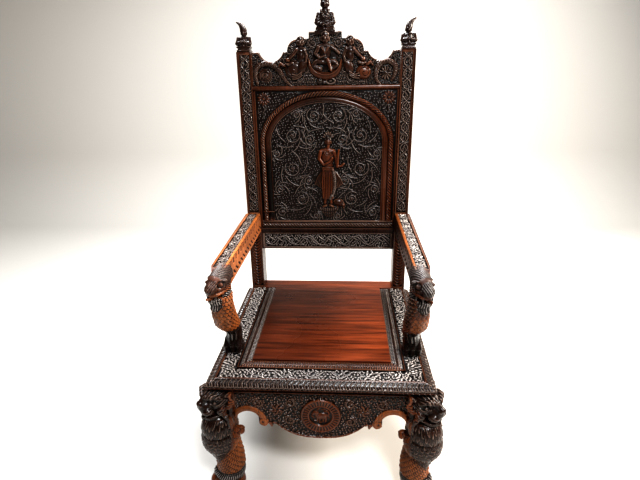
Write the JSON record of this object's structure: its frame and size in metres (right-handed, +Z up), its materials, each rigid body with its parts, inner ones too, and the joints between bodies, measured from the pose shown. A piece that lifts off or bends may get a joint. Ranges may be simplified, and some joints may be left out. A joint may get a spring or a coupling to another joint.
{
  "type": "throne",
  "caption": "Carved hardwood throne: high raked back with arched figure panel and crest, lion-head arms, framed plank seat, shaped apron and lion-mask front legs.",
  "frame": {"origin": "on the floor, at the middle of the throne's overall width and depth", "axes": "+X to the right of a person who faces the throne, +Y from the seat's front edge towards the back, +Z up"},
  "size_m": [0.7476, 0.7429, 1.5732],
  "materials": {
    "carved": "dark stained and polished, worn on the high spots",
    "moulded": "red-brown stained and polished",
    "plank": "glossy red-brown varnish over streaked grain"
  },
  "bodies": {
    "root": {"seat_board": "plank", "seat_border_front": "carved", "seat_border_left": "carved", "seat_border_right": "carved", "stile_left": "carved", "stile_right": "carved", "finial_left": "carved", "finial_right": "carved", "crest_rail": "carved", "back_panel": "carved", "lower_back_rail": "carved", "arm_left": "carved", "arm_right": "carved", "arm_support_left": "carved", "arm_support_right": "carved", "front_apron": "carved", "side_apron_left": "moulded", "side_apron_right": "moulded", "back_apron": "moulded", "front_leg_left": "carved", "front_leg_right": "carved"}
  },
  "joints": []
}
